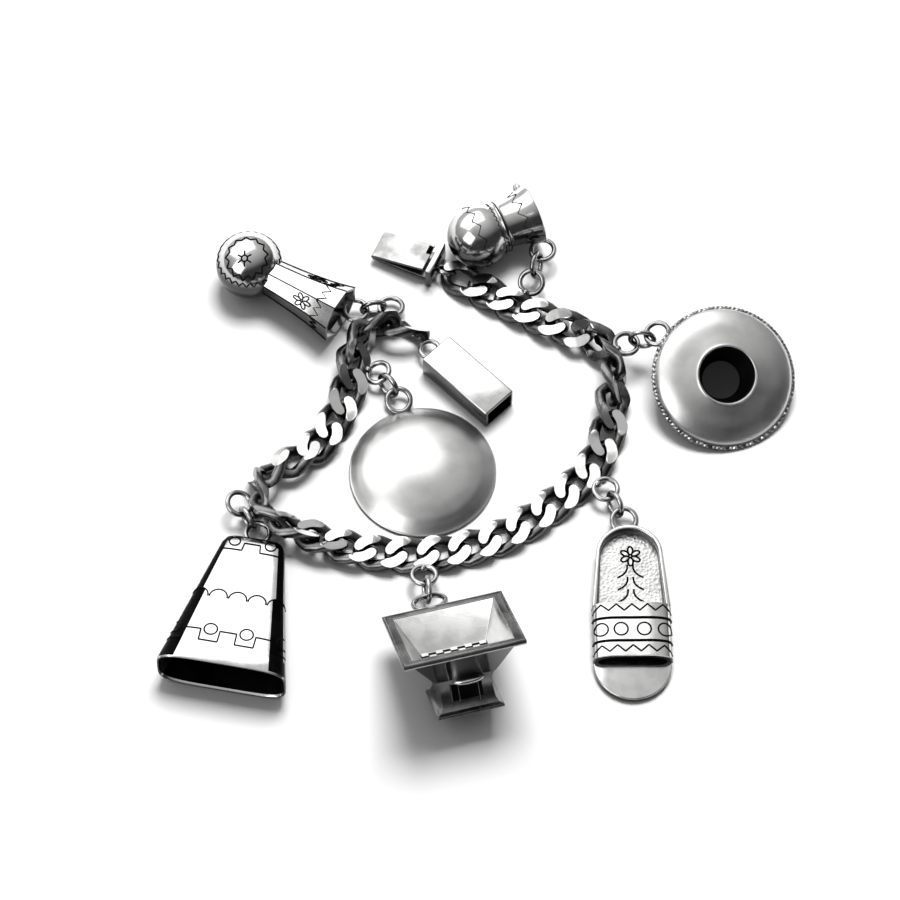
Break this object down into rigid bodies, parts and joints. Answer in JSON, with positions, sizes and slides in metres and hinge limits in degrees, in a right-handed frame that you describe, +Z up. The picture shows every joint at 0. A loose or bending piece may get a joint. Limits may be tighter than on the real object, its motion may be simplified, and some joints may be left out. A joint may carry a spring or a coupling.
{
  "type": "charm bracelet",
  "caption": "Silver curb-chain charm bracelet with a box-and-tongue clasp, unfastened and laid flat, with figurative charms hung from its links on jump rings.",
  "frame": {"origin": "middle of the footprint, on the surface that the bracelet lies on", "axes": "+Z up from the surface; +X and +Y lie in the surface, with the maraca and the sombrero at the -X and +X ends and the cowbell at -Y"},
  "size_m": [0.1036, 0.0992, 0.0195],
  "materials": {
    "chain": "polished silver with flat diamond-cut facets and dark oxidised recesses",
    "clasp": "polished silver sheet, lightly scratched",
    "charm": "polished silver with engraved lines blackened by oxide",
    "ring": "polished silver wire, slightly worn"
  },
  "bodies": {
    "root": {"curb_link_01": "chain", "curb_link_02": "chain", "curb_link_03": "chain", "curb_link_04": "chain", "curb_link_05": "chain", "curb_link_06": "chain", "curb_link_07": "chain", "curb_link_08": "chain", "curb_link_09": "chain", "curb_link_10": "chain", "curb_link_11": "chain", "curb_link_12": "chain", "curb_link_13": "chain", "curb_link_14": "chain", "curb_link_15": "chain", "curb_link_16": "chain", "curb_link_17": "chain", "curb_link_18": "chain", "curb_link_19": "chain", "curb_link_20": "chain", "curb_link_21": "chain", "curb_link_22": "chain", "curb_link_23": "chain", "curb_link_24": "chain", "curb_link_25": "chain", "curb_link_26": "chain", "curb_link_27": "chain", "curb_link_28": "chain", "curb_link_29": "chain", "curb_link_30": "chain", "curb_link_31": "chain", "curb_link_32": "chain", "curb_link_33": "chain", "clasp_tongue": "clasp", "clasp_box": "clasp", "charm_maraca": "charm", "charm_jug": "charm", "charm_sombrero": "charm", "charm_griddle": "charm", "charm_cowbell": "charm", "charm_brazier": "charm", "charm_sandal": "charm", "jump_ring_jug": "ring", "jump_ring_sombrero": "ring", "jump_ring_sandal": "ring", "jump_ring_brazier": "ring", "jump_ring_cowbell": "ring", "jump_ring_plate": "ring", "jump_ring_maraca": "ring"}
  },
  "joints": []
}
